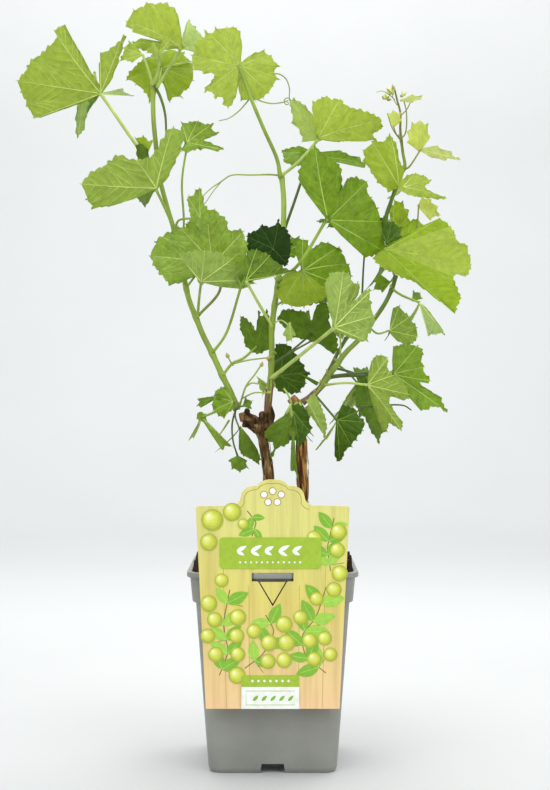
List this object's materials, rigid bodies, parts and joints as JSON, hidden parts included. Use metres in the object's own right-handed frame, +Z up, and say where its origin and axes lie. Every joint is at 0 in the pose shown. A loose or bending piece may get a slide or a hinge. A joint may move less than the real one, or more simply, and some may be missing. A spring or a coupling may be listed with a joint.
{
  "type": "potted grapevine",
  "caption": "Young potted grapevine with woody trunks, long green shoots and lobed leaves in a square nursery pot with a hanging card.",
  "frame": {"origin": "middle of the pot's flat underside, on the ground", "axes": "+Z up, -Y towards the card and the leaves' main view, +X to the right of that view"},
  "size_m": [0.424, 0.1875, 0.6879],
  "materials": {
    "pot": "matte",
    "soil": "matte",
    "card": "satin",
    "bark": "matte",
    "tan_bark": "matte",
    "shoot": "satin",
    "leaf": "satin"
  },
  "bodies": {
    "root": {"card": "card", "leaf_back_left": "leaf", "leaf_back_low": "leaf", "leaf_back_middle": "leaf", "leaf_back_right": "leaf", "leaf_back_upper": "leaf", "leaf_base_edge": "leaf", "leaf_base_left": "leaf", "leaf_far_left": "leaf", "leaf_left_broad": "leaf", "leaf_left_dark": "leaf", "leaf_left_small": "leaf", "leaf_left_upper": "leaf", "leaf_left_young": "leaf", "leaf_middle_broad": "leaf", "leaf_middle_drop": "leaf", "leaf_middle_folded": "leaf", "leaf_middle_left": "leaf", "leaf_middle_pale": "leaf", "leaf_node_back": "leaf", "leaf_right_behind": "leaf", "leaf_right_broad": "leaf", "leaf_right_dark": "leaf", "leaf_right_low_bright": "leaf", "leaf_right_low_dark": "leaf", "leaf_right_low_mid": "leaf", "leaf_right_mid_lower": "leaf", "leaf_right_mid_upper": "leaf", "leaf_right_shade": "leaf", "leaf_right_trunk_light": "leaf", "leaf_tip_pointed": "leaf", "leaf_tip_upright": "leaf", "leaf_tip_yellow": "leaf", "leaf_top_left": "leaf", "leaf_top_middle": "leaf", "leaf_upper_crest": "leaf", "leaf_upper_folded": "leaf", "leaf_upper_right": "leaf", "leaves_base_hanging": "leaf", "leaves_left_pale": "leaf", "leaves_low_middle": "leaf", "leaves_low_small": "leaf", "leaves_middle_dark": "leaf", "leaves_middle_shade": "leaf", "leaves_node_front": "leaf", "leaves_right_hanging": "leaf", "leaves_right_trunk": "leaf", "leaves_tip_last": "leaf", "leaves_tip_pair": "leaf", "pot": "pot", "shoot_left_high": "shoot", "shoot_left_low": "shoot", "shoot_middle": "shoot", "shoot_right_high": "shoot", "shoot_right_low": "shoot", "soil": "soil", "trunk_left": "bark", "trunk_right": "tan_bark"}
  },
  "joints": []
}
